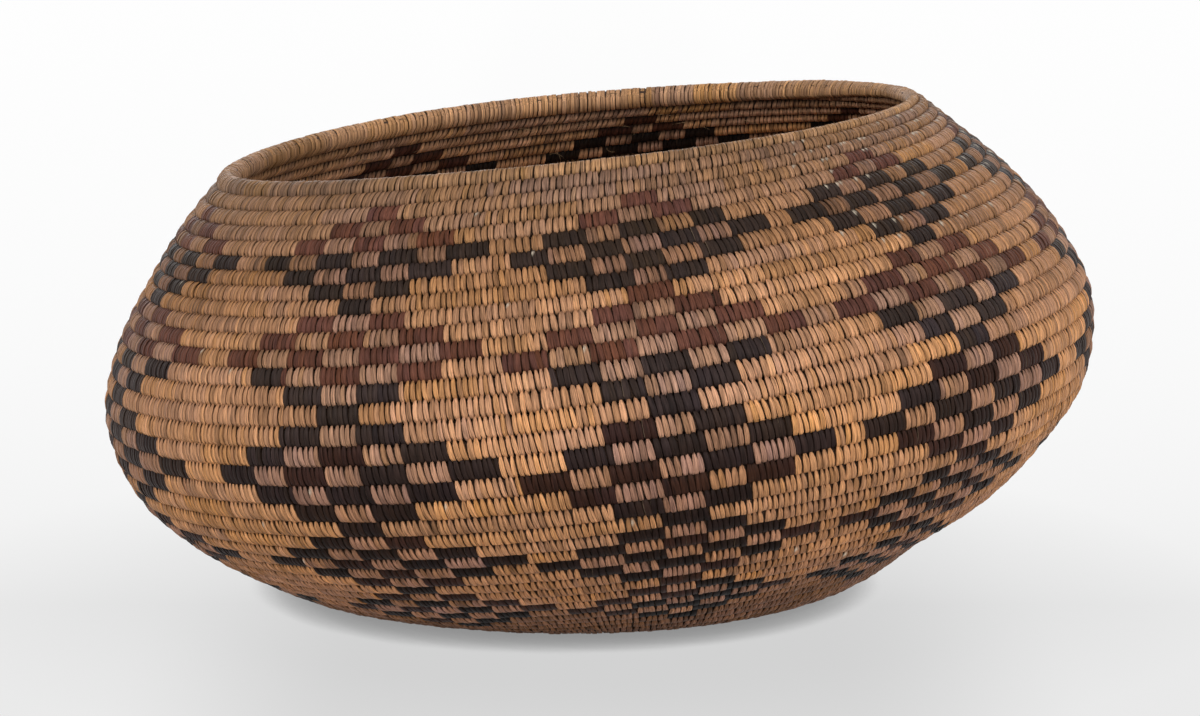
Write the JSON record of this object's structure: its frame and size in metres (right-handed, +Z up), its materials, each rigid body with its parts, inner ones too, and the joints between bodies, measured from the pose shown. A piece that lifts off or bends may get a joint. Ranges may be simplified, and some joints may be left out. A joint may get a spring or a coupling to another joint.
{
  "type": "coiled basket jar",
  "caption": "Round leaning storage basket with a wide belly and narrower mouth, one coil wound from a start knot to a bound rim.",
  "frame": {"origin": "middle of the base's flat underside, on the surface that the basket stands on", "axes": "+Z up, -Y the side that the picture shows, +X to the right in that view, where the leaning rim is higher"},
  "size_m": [0.4341, 0.4364, 0.2182],
  "materials": {
    "rim_binding": "satin",
    "upper_splint": "satin",
    "wall_splint": "satin",
    "base_splint": "matte"
  },
  "bodies": {
    "root": {"rim_coil": "rim_binding", "neck_coil": "upper_splint", "upper_shoulder_coil": "upper_splint", "lower_shoulder_coil": "wall_splint", "upper_belly_coil": "wall_splint", "lower_belly_coil": "wall_splint", "upper_flank_coil": "wall_splint", "lower_flank_coil": "wall_splint", "heel_coil": "base_splint", "foot_coil": "base_splint", "outer_base_coil": "base_splint", "middle_base_coil": "base_splint", "inner_base_coil": "base_splint", "start_knot": "base_splint"}
  },
  "joints": []
}
